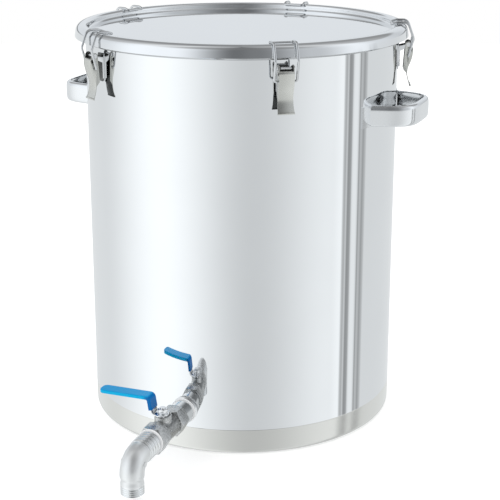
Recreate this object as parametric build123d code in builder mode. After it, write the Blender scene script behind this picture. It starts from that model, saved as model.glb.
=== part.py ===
from build123d import *
import os
from math import asin, cos, degrees, radians, sin, sqrt

# A round stainless steel tank that stands on its flat bottom. A clamped lid sits on the curled rim,
# five wire clips hold it, two strap handles lift it and a ball valve drains it near the bottom.
# Millimetres, +Z up. The origin is on the tank's axis at the floor, and the drain points along -Y.

# Tank and lid sheet
BORE_D = 470.0            # inside diameter of the shell
WALL = 1.5                # sheet of shell, bottom and lid
RIM_Z = 600.0             # top of the curled bead
BEAD_D = 14.4             # outside diameter of the curl
BEAD_SLOT = 2.5           # slot left open under the curl, beside the wall
SEAM_Z = 38.0             # weld between the shell and the pressed bottom
BOTTOM_CORNER_R = 8.0     # outside corner of the bottom

# Lid
LID_PLUG_GAP = 2.0        # between the lid's inner ring and the bore
LID_SKIRT_GAP = 0.7       # between the bead and the inside of the lid's skirt
LID_CREST_RISE = 6.8      # crest of the lid's rim above the bead
LID_SKIRT_DROP = 10.7     # lower edge of the skirt below the top of the bead
LID_RECESS = 9.6          # plate below the crest
LID_OUTER_R = 10.5        # outside rounding of the rim, outer edge
LID_INNER_R = 5.0         # outside rounding of the rim, inner edge
LID_PLATE_R = 3.0         # rounding where the ring meets the plate
GASKET_FLARE = 1.2        # gasket wider at its foot, each side
GASKET_GAP = 0.2          # between the gasket and the bead

# Strap handles
HANDLE_DROP = 110.0       # middle of the strap below the top of the bead
HANDLE_SPAN = 142.0       # between the roots on the wall
HANDLE_REACH = 51.5       # outermost face beyond the wall
HANDLE_FRONT = 110.0      # corner to corner of the bow
HANDLE_BEND_R = 46.0
HANDLE_TURN = -0.9        # both handles about the tank's axis, from +X and -X, degrees
STRAP_H = 31.0
STRAP_DEPTH = 11.0
STRAP_EDGE_R = 9.0        # rolled edges of the strap, at the middle of the sheet
STRAP_T = 1.5
FOOT_LENGTH = 18.0        # foot along the wall beyond the root

# Wire clips
CLIP_COUNT = 5
CLIP_FIRST = 34.7         # azimuth of the first clip, from -Y towards +X, degrees
PIVOT_OUT = 15.5          # lever pivot beyond the wall
PIVOT_DROP = 24.5         # lever pivot below the top of the bead
BAIL_IN = 0.1             # bail pivot behind the lever pivot
BAIL_DROP = 18.2          # bail pivot below the lever pivot
PIN_R = 2.0
PIN_HEAD_R = 3.2
PIN_HEAD_T = 1.0
RUN_FIT = 0.06            # radial clearance of pins that turn
CLIP_SIDE_GAP = 0.5       # between lever and base, each side
BASE_T = 1.5
BASE_TOP = 3.0            # top of the base plate above the pivot
BASE_DROP = 38.0          # foot of the base plate below the pivot
BASE_CORNER_R = 5.0
BASE_EAR_R = 3.4
BASE_STRUT = (4.0, 6.0)   # front corner of the ear, behind and below the pivot
BASE_WALL = 3.2           # depth of the bracket's side walls below the ears
BASE_STEP = 10.0          # foot of the ears below the pivot
LEVER_W = 22.0
LEVER_TIP_W = 25.0
LEVER_T = 1.2
LEVER_EAR_R = 4.6
LEVER_FRONT = 6.7         # front sheet beyond the pivot, at its top
LEVER_TOP_DROP = 7.3      # top of the front sheet below the pivot
LEVER_ROLL_R = 3.3        # rolled top edge, at the middle of the sheet
LEVER_KNEE = (1.5, -30.5)     # front sheet from the pivot, where the bend turns round
LEVER_WAIST = (-0.9, -44.5)   # lower end of the side flanges
LEVER_TIP = (4.1, -61.5)      # flared tip
LEVER_BACK = (-7.0, -37.0)    # rear corner of the side flanges
LEVER_TIP_ROLL_R = 1.4        # rolled edge at the tip
WIRE_D = 3.6
WIRE_SPAN = 32.0          # between the two legs of the bail, middle to middle
WIRE_RIM_GAP = 0.4        # between the wire and the lid's crest
WIRE_ELBOW_OUT = 22.6     # outermost bend of the bail beyond the wall
WIRE_ELBOW_DROP = 15.0    # that bend below the top of the bead
WIRE_CREST_OUT = 13.8     # where the bail bends over the rim
WIRE_CREST_IN = -3.0
WIRE_HOOK_IN = -11.0      # cross bar of the bail
WIRE_HOOK_DROP = 2.8      # cross bar below the wire's crest
WIRE_EYE_R = 3.2          # bends at the eyes and the cross bar
WIRE_BENDS = (8.0, 9.0, 8.0)

# Drain pipe, measured outwards from the wall along -Y
DRAIN_Z = 66.0            # pipe axis
DRAIN_BORE_R = 12.0
THREAD_R = 15.2           # common radius of the screwed joints
SOCKET_LENGTH = 4.0       # socket outside the wall
SOCKET_INSIDE = 16.0      # socket inside the wall
SOCKET_R = 17.2
SOCKET_STEP = 3.0         # lip left at the inner end of the socket's thread
NIPPLE_LENGTH = 24.0      # bare barrel of the nipple
NIPPLE_R = 17.2
WELD_LEG = 2.4
TAPE_W = 2.5
TAPE_R = 18.0
JOINT_DEPTH = 16.0        # screwed length of each joint
THREAD_CHAMFER = 1.0

# Ball valve
VALVE_AF = 38.0           # hexagons across flats
VALVE_END_LENGTH = 24.5
VALVE_BODY_LENGTH = 64.0
VALVE_BODY_R = 17.8       # round barrel of the body
VALVE_HEX_LENGTH = 25.0   # hexagon at the outlet
VALVE_CHAMFER = 2.2
STEM_PLACE = 22.0         # stem axis beyond the joint of end piece and body
BALL_R = 14.5
BALL_BORE_R = 9.5
SEAT_FIT = 0.06           # between the ball and its seats
SEAT_R = 13.4
SEAT_NEAR = 9.4           # seat ring from the ball's centre
SEAT_FAR = 15.0
STEM_R = 5.0
STEM_FLAT = 8.0           # across the stem's flats
STEM_THREAD_R = 4.0
STEM_COLLAR_R = 6.8
STEM_COLLAR_Z = 12.8      # under side of the collar above the pipe axis
STEM_COLLAR_T = 2.0
STEM_TANG = (6.0, 11.0, 2.2)
WASHER_T = 1.0
NECK_R = 12.4
NECK_Z = 23.0             # top of the neck above the pipe axis
GLAND_R = 7.4
GLAND_T = 2.6
PACKING_T = 2.4
STOP_SIZE = (2.6, 3.4)    # stop lug, along and across its radius
STOP_RADIUS = 10.7

# Valve lever
HANDLE_T = 2.5            # steel strip
HANDLE_W = 18.0
HANDLE_GAP = 0.5          # strip above the neck
HUB_R = 12.0
HUB_NOTCH_R = 8.8
HUB_NOTCH = 57.0          # half angle of the notch for the stop lug, degrees
CRANK_FOOT = 14.0         # where the strip turns up, from the stem axis
CRANK_HEAD = 18.0         # where it turns outwards
CRANK_RISE = 25.0
CRANK_BEND_R = 5.0
GRIP_REACH = 94.5         # tip of the strip from the stem axis
SLEEVE_T = 1.25
SLEEVE_START = 7.0        # lower end of the sleeve above the strip's hub
SLEEVE_EDGE_R = 1.1
NUT_AF = 13.0
NUT_T = 6.0
NUT_CHAMFER = 0.8
SPRING_WASHER_R = 6.8
SPRING_WASHER_T = 1.3
STEM_END = 2.0            # stem beyond the nut

# Elbow
ELBOW_OUT = 181.0         # axis of the outlet beyond the wall
ELBOW_BEND_R = 22.0
ELBOW_R = 17.2
ELBOW_NECK_R = 15.7
ELBOW_NECK_Z = 39.0
ELBOW_COLLAR_R = 16.6
ELBOW_COLLAR_TOP = 31.5
OUTLET_Z = 17.0
OUTLET_R = 12.05          # threaded mouth
OUTLET_DEPTH = 16.0
ELBOW_BORE_R = 11.0
RIDGE_R = 16.9            # bare thread on the inlet
RIDGE_PITCH = 3.0
RIDGE_COUNT = 11
RIDGE_DEPTH = 1.3
MOUTH_RIDGE_COUNT = 4     # bare thread round the mouth
MOUTH_RIDGE_DEPTH = 0.8
ELBOW_PAD_R = 4.0         # round pads cast on both sides of the bend
ELBOW_PAD_RISE = 0.7

# Places worked out from the sizes above
bore_r = BORE_D / 2
outer_r = bore_r + WALL
bead_r = bore_r + BEAD_D / 2
bead_z = RIM_Z - BEAD_D / 2
handle_z = RIM_Z - HANDLE_DROP
crest_z = RIM_Z + LID_CREST_RISE
plate_z = crest_z - LID_RECESS
skirt_r = bead_r + BEAD_D / 2 + LID_SKIRT_GAP + WALL
plug_r = bore_r - LID_PLUG_GAP
pivot = (PIVOT_OUT, RIM_Z - PIVOT_DROP)
bail_pivot = (pivot[0] - BAIL_IN, pivot[1] - BAIL_DROP)
base_w = LEVER_W - 2 * LEVER_T - 2 * CLIP_SIDE_GAP
wire_r = WIRE_D / 2
wire_z = crest_z + WIRE_RIM_GAP + wire_r
barrel_start = SOCKET_LENGTH + TAPE_W
end_start = barrel_start + NIPPLE_LENGTH
body_start = end_start + VALVE_END_LENGTH
body_end = body_start + VALVE_BODY_LENGTH
stem_out = body_start + STEM_PLACE
hex_r = VALVE_AF / sqrt(3)
neck_z = DRAIN_Z + NECK_Z
strip_z = neck_z + HANDLE_GAP
nut_z = strip_z + HANDLE_T + SPRING_WASHER_T
stem_y = -(outer_r + stem_out)
elbow_y = -(outer_r + ELBOW_OUT)
ball_centre = (0, stem_y, DRAIN_Z)

# The pipe's section plane has x outwards from the wall and y upwards from the pipe axis
pipe_section = Plane(origin=(0, -outer_r, DRAIN_Z), x_dir=(0, -1, 0), z_dir=(-1, 0, 0))
pipe_axis = Axis((0, -outer_r, DRAIN_Z), (0, -1, 0))
pipe_face = Plane(origin=(0, -outer_r, DRAIN_Z), x_dir=(1, 0, 0), z_dir=(0, -1, 0))
stem_axis = Axis((0, stem_y, 0), (0, 0, 1))
stem_plane = Plane(origin=(0, stem_y, 0), x_dir=(1, 0, 0), z_dir=(0, 0, 1))
stem_section = Plane(origin=(0, stem_y, 0), x_dir=(1, 0, 0), z_dir=(0, -1, 0))
elbow_section = Plane(origin=(0, elbow_y, 0), x_dir=(1, 0, 0), z_dir=(0, -1, 0))
elbow_axis = Axis((0, elbow_y, 0), (0, 0, 1))


def save(piece, name):
    """Labels a finished piece and writes it as one STEP file."""
    piece.label = name
    export_step(piece, f"parts/{name}.step")


def shifted(point, offset):
    return (point[0] + offset[0], point[1] + offset[1])


def ring(section, axis, inner_r, outer, start, end):
    """A plain ring on a revolved section whose first coordinate is the axial one."""
    with BuildPart() as made:
        with BuildSketch(section):
            with Locations((start, inner_r)):
                Rectangle(end - start, outer - inner_r, align=(Align.MIN, Align.MIN))
        revolve(axis=axis)
    return made.part


def stem_ring(inner_r, outer, low, high):
    """A plain ring round the valve stem."""
    with BuildPart() as made:
        with BuildSketch(stem_section):
            with Locations((inner_r, low)):
                Rectangle(outer - inner_r, high - low, align=(Align.MIN, Align.MIN))
        revolve(axis=stem_axis)
    return made.part


def hexagon_between(start, end):
    """The valve's hexagon from start to end, flat on top, with turned corners."""
    with BuildPart() as made:
        with BuildSketch(pipe_face.offset(start)):
            RegularPolygon(hex_r, 6)
        extrude(amount=end - start)
        with BuildSketch(pipe_section):
            face_r = hex_r - 1.5 * VALVE_CHAMFER
            with BuildLine():
                Polyline((start, 0), (start, face_r), (start + VALVE_CHAMFER, hex_r),
                         (end - VALVE_CHAMFER, hex_r), (end, face_r), (end, 0), close=True)
            make_face()
        revolve(axis=pipe_axis, mode=Mode.INTERSECT)
    return made.part


def handle(side):
    """A strap handle: a rolled strap bowed away from the wall, with two feet bent onto it."""
    root = Vector(sqrt(outer_r**2 - (HANDLE_SPAN / 2) ** 2), HANDLE_SPAN / 2)
    front = Vector(outer_r + HANDLE_REACH, HANDLE_FRONT / 2)
    buried = root - (front - root).normalized() * (2 * STRAP_DEPTH)
    root_angle = degrees(asin(HANDLE_SPAN / 2 / outer_r))
    foot_angles = (root_angle - degrees(2 * STRAP_T / outer_r), root_angle + degrees(FOOT_LENGTH / outer_r))
    bow = [(buried.X, -buried.Y), (front.X, -front.Y), (front.X, front.Y), (buried.X, buried.Y)]
    with BuildPart() as made:
        with BuildLine() as path:
            FilletPolyline(*[(side * x, side * y, handle_z) for x, y in bow], radius=HANDLE_BEND_R)
        with BuildSketch(Plane(origin=path.line @ 0, x_dir=(0, 0, 1), z_dir=path.line % 0)):
            edge = (STRAP_H - STRAP_T) / 2
            with BuildLine():
                FilletPolyline((-edge, -STRAP_DEPTH), (-edge, -STRAP_T / 2), (edge, -STRAP_T / 2),
                               (edge, -STRAP_DEPTH), radius=STRAP_EDGE_R)
            trace(line_width=STRAP_T)
        sweep(path=path.line)
        with BuildSketch(Plane.XY.offset(handle_z - STRAP_H / 2)):
            Circle(outer_r + STRAP_T)
            Circle(outer_r, mode=Mode.SUBTRACT)
            with BuildSketch(mode=Mode.INTERSECT):
                far = 2 * outer_r
                for way in (-1, 1):
                    corners = [(far * cos(radians(a)) * side, far * sin(radians(a)) * way)
                               for a in foot_angles]
                    Polygon((0, 0), *corners, align=None)
        extrude(amount=STRAP_H)
        with Locations((0, 0, handle_z)):
            Cylinder(outer_r, 2 * STRAP_H, mode=Mode.SUBTRACT)
    return made.part.rotate(Axis.Z, HANDLE_TURN)


def clip_base(side, front):
    """A U-shaped bracket: a plate welded to the wall with two ears for the hinge pin."""
    ear_low = pivot[1] - BASE_DROP + BASE_CORNER_R
    with BuildPart() as made:
        plate_height = BASE_TOP + BASE_DROP
        with BuildSketch(front.offset(-BASE_T)):
            with Locations((0, pivot[1] + BASE_TOP - plate_height / 2)):
                RectangleRounded(base_w, plate_height, BASE_CORNER_R)
        extrude(amount=2 * BASE_T)
        for way in (-1, 1):
            with BuildSketch(side.offset(way * (base_w - BASE_T) / 2)):
                Polygon((pivot[0] - BASE_EAR_R, pivot[1]), (-BASE_T, pivot[1] - BASE_TOP), (-BASE_T, ear_low),
                        (BASE_WALL, ear_low), (BASE_WALL, pivot[1] - BASE_STEP),
                        (pivot[0] - BASE_STRUT[0], pivot[1] - BASE_STRUT[1]),
                        (pivot[0], pivot[1] - BASE_EAR_R), align=None)
                with Locations(pivot):
                    Circle(BASE_EAR_R)
                    Circle(PIN_R, mode=Mode.SUBTRACT)
            extrude(amount=BASE_T / 2, both=True)
        with Locations((0, 0, pivot[1])):
            Cylinder(outer_r, 4 * BASE_DROP, mode=Mode.SUBTRACT)
    return made.part


def clip_pin(side):
    """The hinge pin, with a rivet head outside each cheek of the lever."""
    head_start = LEVER_W / 2 + CLIP_SIDE_GAP / 2
    with BuildPart() as made:
        with BuildSketch(side):
            with Locations(pivot):
                Circle(PIN_R)
        extrude(amount=head_start, both=True)
        for way in (-1, 1):
            with BuildSketch(side.offset(way * head_start)):
                with Locations(pivot):
                    Circle(PIN_HEAD_R)
            extrude(amount=way * PIN_HEAD_T)
    return made.part


def clip_lever(side, front):
    """The lever: an S-bent front sheet with a rolled top edge, a flared tip and two side flanges."""
    top = shifted(pivot, (LEVER_FRONT, -LEVER_TOP_DROP))
    roll = shifted(top, (-LEVER_ROLL_R, 0))
    knee = shifted(pivot, LEVER_KNEE)
    waist = shifted(pivot, LEVER_WAIST)
    with BuildPart() as made:
        with BuildSketch(side):
            with BuildLine():
                CenterArc(roll, LEVER_ROLL_R, 0, 250)
                upper = TangentArc(top, knee, tangent=(0, -1))
                middle = TangentArc(knee, waist, tangent=upper % 1)
                TangentArc(waist, shifted(pivot, LEVER_TIP), tangent=middle % 1)
            trace(line_width=LEVER_T)
            with Locations(shifted(pivot, LEVER_TIP)):
                Circle(LEVER_TIP_ROLL_R)
        extrude(amount=LEVER_TIP_W / 2, both=True)
        half = LEVER_W / 2
        with BuildSketch(front):
            tip = pivot[1] + LEVER_TIP[1] - 2 * LEVER_TIP_ROLL_R
            high = pivot[1] + LEVER_EAR_R
            with BuildLine():
                Polyline((half, waist[1]), (half, high), (-half, high), (-half, waist[1]))
                TangentArc((-half, waist[1]), (-LEVER_TIP_W / 2, tip), tangent=(0, -1))
                TangentArc((half, waist[1]), (LEVER_TIP_W / 2, tip), tangent=(0, -1))
                Line((-LEVER_TIP_W / 2, tip), (LEVER_TIP_W / 2, tip))
            make_face()
        extrude(amount=4 * LEVER_W, mode=Mode.INTERSECT)
        for way in (-1, 1):
            with BuildSketch(side.offset(way * (LEVER_W - LEVER_T) / 2)):
                with BuildLine():
                    upper = TangentArc(top, knee, tangent=(0, -1))
                    TangentArc(knee, waist, tangent=upper % 1)
                    Polyline(waist, shifted(pivot, LEVER_BACK), (pivot[0] - LEVER_EAR_R, pivot[1]))
                    ThreePointArc((pivot[0] - LEVER_EAR_R, pivot[1]), (pivot[0], pivot[1] + LEVER_EAR_R),
                                  (pivot[0] + LEVER_EAR_R, pivot[1]))
                    Line((pivot[0] + LEVER_EAR_R, pivot[1]), top)
                make_face()
                with Locations(pivot):
                    Circle(PIN_R + RUN_FIT, mode=Mode.SUBTRACT)
                with Locations(bail_pivot):
                    Circle(wire_r + RUN_FIT, mode=Mode.SUBTRACT)
                with Locations(roll):
                    Circle(LEVER_ROLL_R - LEVER_T / 2, mode=Mode.SUBTRACT)
            extrude(amount=LEVER_T / 2, both=True)
    return made.part


def clip_bail(side):
    """The wire bail: two legs from the lever over the lid's rim, joined by a cross bar."""
    half = WIRE_SPAN / 2
    eye_end = LEVER_W / 2 - 2 * LEVER_T
    leg = [bail_pivot, (WIRE_ELBOW_OUT, RIM_Z - WIRE_ELBOW_DROP), (WIRE_CREST_OUT, wire_z),
           (WIRE_CREST_IN, wire_z), (WIRE_HOOK_IN, wire_z - WIRE_HOOK_DROP)]
    points = [(*bail_pivot, eye_end)] + [(x, y, half) for x, y in leg]
    points += [(x, y, -half) for x, y in reversed(leg)] + [(*bail_pivot, -eye_end)]
    bends = [WIRE_EYE_R, *WIRE_BENDS, WIRE_EYE_R]
    with BuildPart() as made:
        with BuildLine() as path:
            FilletPolyline(*[side.from_local_coords(p) for p in points], radius=bends + bends[::-1])
        with BuildSketch(Plane(origin=path.line @ 0, z_dir=path.line % 0)):
            Circle(wire_r)
        sweep(path=path.line)
    return made.part


os.makedirs("parts", exist_ok=True)

# Rim: the top edge curled outwards into a round bead, open below beside the wall
with BuildPart() as tank_rim:
    with BuildSketch(Plane.XZ):
        with Locations((bead_r, bead_z)):
            Circle(BEAD_D / 2)
            Circle(BEAD_D / 2 - WALL, mode=Mode.SUBTRACT)
        with Locations((bore_r, bead_z)):
            Rectangle(WALL + BEAD_SLOT, BEAD_D / 2, align=(Align.MIN, Align.MAX), mode=Mode.SUBTRACT)
    revolve(axis=Axis.Z)
save(tank_rim.part, "tank_rim")

# Shell: rolled sheet between the bottom and the rim, with a hole for the drain
with BuildPart() as tank_shell:
    with BuildSketch(Plane.XZ):
        with Locations((bore_r, SEAM_Z)):
            Rectangle(WALL, bead_z - SEAM_Z, align=(Align.MIN, Align.MIN))
    revolve(axis=Axis.Z)
    with BuildSketch(pipe_face):
        Circle(SOCKET_R)
    extrude(amount=-bore_r / 2, mode=Mode.SUBTRACT)
save(tank_shell.part, "tank_shell")

# Bottom: a pressed dish, butt welded under the shell
with BuildPart() as tank_bottom:
    with BuildSketch(Plane.XZ):
        with BuildLine():
            FilletPolyline((0, WALL / 2), (bore_r + WALL / 2, WALL / 2), (bore_r + WALL / 2, SEAM_Z),
                           radius=BOTTOM_CORNER_R - WALL / 2)
        trace(line_width=WALL)
    revolve(axis=Axis.Z)
save(tank_bottom.part, "tank_bottom")

# Lid: one pressed sheet, a channel over the bead and a flat plate set down inside it
with BuildPart() as lid_panel:
    with BuildSketch(Plane.XZ):
        half = WALL / 2
        with BuildLine():
            FilletPolyline((skirt_r - half, RIM_Z - LID_SKIRT_DROP), (skirt_r - half, crest_z - half),
                           (plug_r - half, crest_z - half), (plug_r - half, plate_z - half),
                           (0, plate_z - half),
                           radius=(LID_OUTER_R - half, LID_INNER_R - half, LID_PLATE_R + half))
        trace(line_width=WALL)
    revolve(axis=Axis.Z)
save(lid_panel.part, "lid_panel")

with BuildPart() as lid_gasket:
    with BuildSketch(Plane.XZ):
        gasket_in = plug_r + LID_INNER_R
        gasket_out = skirt_r - LID_OUTER_R
        gasket_z = RIM_Z + GASKET_GAP
        Polygon((gasket_in - GASKET_FLARE, gasket_z), (gasket_out + GASKET_FLARE, gasket_z),
                (gasket_out, crest_z - WALL), (gasket_in, crest_z - WALL), align=None)
    revolve(axis=Axis.Z)
save(lid_gasket.part, "lid_gasket")

save(handle(1), "handle_right")
save(handle(-1), "handle_left")

# Clips: each one in its own plane, x outwards from the wall and y upwards from the floor
for number in range(CLIP_COUNT):
    azimuth = radians(CLIP_FIRST + number * 360 / CLIP_COUNT)
    outward = Vector(sin(azimuth), -cos(azimuth), 0)
    side_plane = Plane(origin=outward * outer_r, x_dir=outward, z_dir=(-cos(azimuth), -sin(azimuth), 0))
    front_plane = Plane(origin=outward * outer_r, x_dir=(cos(azimuth), sin(azimuth), 0), z_dir=outward)
    save(clip_base(side_plane, front_plane), f"clip_base_{number + 1}")
    save(clip_pin(side_plane), f"clip_pin_{number + 1}")
    save(clip_lever(side_plane, front_plane), f"clip_lever_{number + 1}")
    save(clip_bail(side_plane), f"clip_bail_{number + 1}")

# Socket: set through the drain hole and welded round it on the outside
with BuildPart() as drain_socket:
    with BuildSketch(pipe_section):
        with BuildLine():
            Polyline((-WALL, THREAD_R), (-WALL, SOCKET_R + WELD_LEG), (0, SOCKET_R + WELD_LEG),
                     (WELD_LEG, SOCKET_R), (WELD_LEG, THREAD_R), close=True)
        make_face()
    revolve(axis=pipe_axis)
    with Locations((0, 0, DRAIN_Z)):
        Cylinder(outer_r, 4 * SOCKET_R, mode=Mode.SUBTRACT)
    with BuildSketch(pipe_section):
        with BuildLine():
            thread_start = SOCKET_STEP - SOCKET_INSIDE
            Polyline((-SOCKET_INSIDE, DRAIN_BORE_R), (-SOCKET_INSIDE, SOCKET_R),
                     (SOCKET_LENGTH - THREAD_CHAMFER, SOCKET_R), (SOCKET_LENGTH, SOCKET_R - THREAD_CHAMFER),
                     (SOCKET_LENGTH, THREAD_R), (thread_start, THREAD_R),
                     (thread_start, DRAIN_BORE_R), close=True)
        make_face()
    revolve(axis=pipe_axis)
save(drain_socket.part, "drain_socket")

# Nipple: a bare barrel with a screwed end each side
with BuildPart() as drain_nipple:
    screw_start = SOCKET_LENGTH - JOINT_DEPTH
    screw_end = end_start + JOINT_DEPTH
    add(ring(pipe_section, pipe_axis, DRAIN_BORE_R, THREAD_R, screw_start, screw_end))
    add(ring(pipe_section, pipe_axis, DRAIN_BORE_R, NIPPLE_R, barrel_start, end_start))
save(drain_nipple.part, "drain_nipple")

save(ring(pipe_section, pipe_axis, THREAD_R, TAPE_R, SOCKET_LENGTH, barrel_start), "seal_tape_inlet")
save(ring(pipe_section, pipe_axis, THREAD_R, TAPE_R, body_end, body_end + TAPE_W), "seal_tape_outlet")

# End piece: screwed into the body, where its spigot holds the inner seat
with BuildPart() as valve_end_piece:
    add(hexagon_between(end_start, body_start))
    with BuildSketch(pipe_section):
        with Locations((body_start, 0)):
            Rectangle(stem_out - SEAT_FAR - body_start, THREAD_R, align=(Align.MIN, Align.MIN))
    revolve(axis=pipe_axis)
    with BuildSketch(pipe_section):
        with Locations((end_start, 0)):
            Rectangle(JOINT_DEPTH, THREAD_R, align=(Align.MIN, Align.MIN))
            Rectangle(stem_out - SEAT_FAR - end_start, BALL_BORE_R, align=(Align.MIN, Align.MIN))
    revolve(axis=pipe_axis, mode=Mode.SUBTRACT)
save(valve_end_piece.part, "valve_end_piece")

# Body: barrel and hexagon, with the ball's chamber, the outer seat's pocket, the outlet thread and the neck
with BuildPart() as valve_body:
    add(ring(pipe_section, pipe_axis, 0, VALVE_BODY_R, body_start, body_end))
    add(hexagon_between(body_end - VALVE_HEX_LENGTH, body_end))
    with BuildSketch(stem_plane.offset(DRAIN_Z)):
        Circle(NECK_R)
    extrude(amount=NECK_Z)
    with BuildSketch(stem_plane.offset(neck_z)):
        with Locations(Location((STOP_RADIUS * cos(radians(45)), STOP_RADIUS * sin(radians(45))), 45)):
            Rectangle(*STOP_SIZE)
    extrude(amount=HANDLE_GAP + HANDLE_T)
    with BuildSketch(pipe_section):
        with BuildLine():
            seat_start = stem_out + SEAT_NEAR
            seat_end = stem_out + SEAT_FAR
            screw_end = body_end - JOINT_DEPTH
            Polyline((body_start, 0), (body_start, THREAD_R), (seat_start, THREAD_R), (seat_start, SEAT_R),
                     (seat_end, SEAT_R), (seat_end, BALL_BORE_R), (screw_end, BALL_BORE_R),
                     (screw_end, THREAD_R), (body_end, THREAD_R), (body_end, 0), close=True)
        make_face()
    revolve(axis=pipe_axis, mode=Mode.SUBTRACT)
    collar_top = DRAIN_Z + STEM_COLLAR_Z + STEM_COLLAR_T
    gland_floor = neck_z - GLAND_T - PACKING_T
    with BuildSketch(stem_section):
        with BuildLine():
            collar_r = STEM_COLLAR_R + RUN_FIT
            hole_r = STEM_R + RUN_FIT
            Polyline((0, DRAIN_Z), (collar_r, DRAIN_Z), (collar_r, collar_top + WASHER_T),
                     (hole_r, collar_top + WASHER_T), (hole_r, gland_floor), (GLAND_R, gland_floor),
                     (GLAND_R, neck_z), (0, neck_z), close=True)
        make_face()
    revolve(axis=stem_axis, mode=Mode.SUBTRACT)
save(valve_body.part, "valve_body")

# Seats: one ring each side of the ball, hollowed to fit it
for name, start in (("valve_seat_inner", stem_out - SEAT_FAR), ("valve_seat_outer", stem_out + SEAT_NEAR)):
    with BuildPart() as valve_seat:
        add(ring(pipe_section, pipe_axis, BALL_BORE_R, SEAT_R, start, start + SEAT_FAR - SEAT_NEAR))
        with Locations(ball_centre):
            Sphere(BALL_R + SEAT_FIT, mode=Mode.SUBTRACT)
    save(valve_seat.part, name)

# Ball: shut, so its bore lies across the pipe
with BuildPart() as valve_ball:
    with Locations(ball_centre):
        Sphere(BALL_R)
        Cylinder(BALL_BORE_R, 4 * BALL_R, rotation=(0, 90, 0), mode=Mode.SUBTRACT)
    with Locations((0, stem_y, DRAIN_Z + STEM_COLLAR_Z - RUN_FIT)):
        Box(2 * BALL_R, 2 * BALL_R, BALL_R, align=(Align.CENTER, Align.CENTER, Align.MIN), mode=Mode.SUBTRACT)
        Box(STEM_TANG[0] + 2 * RUN_FIT, 2 * BALL_R, STEM_TANG[2] + RUN_FIT,
            align=(Align.CENTER, Align.CENTER, Align.MAX), mode=Mode.SUBTRACT)
save(valve_ball.part, "valve_ball")

# Stem: tang in the ball, collar under the neck, flats for the lever and a thread for its nut
with BuildPart() as valve_stem:
    with BuildSketch(stem_section):
        with BuildLine():
            stem_foot = DRAIN_Z + STEM_COLLAR_Z
            stem_top = nut_z + NUT_T + STEM_END
            Polyline((0, stem_foot), (STEM_COLLAR_R, stem_foot), (STEM_COLLAR_R, collar_top),
                     (STEM_R, collar_top), (STEM_R, strip_z + HANDLE_T), (STEM_THREAD_R, strip_z + HANDLE_T),
                     (STEM_THREAD_R, stem_top), (0, stem_top), close=True)
        make_face()
    revolve(axis=stem_axis)
    with Locations((0, stem_y, DRAIN_Z + STEM_COLLAR_Z)):
        Box(*STEM_TANG, align=(Align.CENTER, Align.CENTER, Align.MAX))
    with BuildSketch(stem_plane.offset(strip_z)):
        Circle(STEM_R)
        Rectangle(STEM_FLAT, 2 * STEM_R, mode=Mode.SUBTRACT)
    extrude(amount=HANDLE_T, mode=Mode.SUBTRACT)
save(valve_stem.part, "valve_stem")

save(stem_ring(STEM_R + RUN_FIT, STEM_COLLAR_R, collar_top, collar_top + WASHER_T), "stem_thrust_washer")
save(stem_ring(STEM_R + RUN_FIT, GLAND_R, gland_floor, gland_floor + PACKING_T), "stem_packing")

with BuildPart() as gland_nut:
    add(stem_ring(STEM_R + RUN_FIT, GLAND_R, neck_z - GLAND_T, neck_z))
    with Locations((0, stem_y, neck_z)):
        Box(2 * GLAND_R, GLAND_T, GLAND_T / 2, align=(Align.CENTER, Align.CENTER, Align.MAX),
            mode=Mode.SUBTRACT)
save(gland_nut.part, "gland_nut")

# Lever: a cranked strip, shut across the pipe, with a notched hub for the stop lug
strip_mid = strip_z + HANDLE_T / 2
crank = [(-CRANK_FOOT, strip_mid), (-CRANK_HEAD, strip_mid + CRANK_RISE)]
with BuildPart() as valve_lever:
    with BuildSketch(stem_section):
        with BuildLine():
            FilletPolyline((0, strip_mid), *crank, (-GRIP_REACH, strip_mid + CRANK_RISE), radius=CRANK_BEND_R)
        trace(line_width=HANDLE_T)
    extrude(amount=HANDLE_W / 2, both=True)
    with BuildSketch(stem_plane.offset(strip_z)):
        Circle(HUB_R)
        notch_x = 2 * HUB_R * cos(radians(HUB_NOTCH))
        notch_y = 2 * HUB_R * sin(radians(HUB_NOTCH))
        Polygon((0, 0), (notch_x, -notch_y), (2 * HUB_R, -notch_y), (2 * HUB_R, notch_y), (notch_x, notch_y),
                align=None, mode=Mode.SUBTRACT)
        Circle(HUB_NOTCH_R)
    extrude(amount=HANDLE_T)
    with BuildSketch(stem_plane.offset(strip_z)):
        Circle(STEM_R)
        Rectangle(STEM_FLAT, 2 * STEM_R, mode=Mode.INTERSECT)
    extrude(amount=HANDLE_T, mode=Mode.SUBTRACT)
    fillet(valve_lever.edges().filter_by(Axis.Z).group_by(Axis.X)[0], HANDLE_W / 3)
save(valve_lever.part, "valve_lever")

# Sleeve: soft plastic over the crank and the grip
with BuildPart() as lever_sleeve:
    with BuildSketch(stem_section):
        share = SLEEVE_START / CRANK_RISE
        with BuildLine():
            sleeve_foot = (-CRANK_FOOT - share * (CRANK_HEAD - CRANK_FOOT), strip_mid + SLEEVE_START)
            sleeve_tip = (-GRIP_REACH - SLEEVE_T, strip_mid + CRANK_RISE)
            FilletPolyline(sleeve_foot, crank[1], sleeve_tip, radius=CRANK_BEND_R)
        trace(line_width=HANDLE_T + 2 * SLEEVE_T)
    extrude(amount=HANDLE_W / 2 + SLEEVE_T, both=True)
    fillet(lever_sleeve.edges().filter_by(Axis.Z).group_by(Axis.X)[0], HANDLE_W / 3 + SLEEVE_T)
    fillet(lever_sleeve.faces().sort_by(Axis.Z)[-1].edges(), SLEEVE_EDGE_R)
    add(valve_lever.part, mode=Mode.SUBTRACT)
save(lever_sleeve.part, "lever_sleeve")

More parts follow.
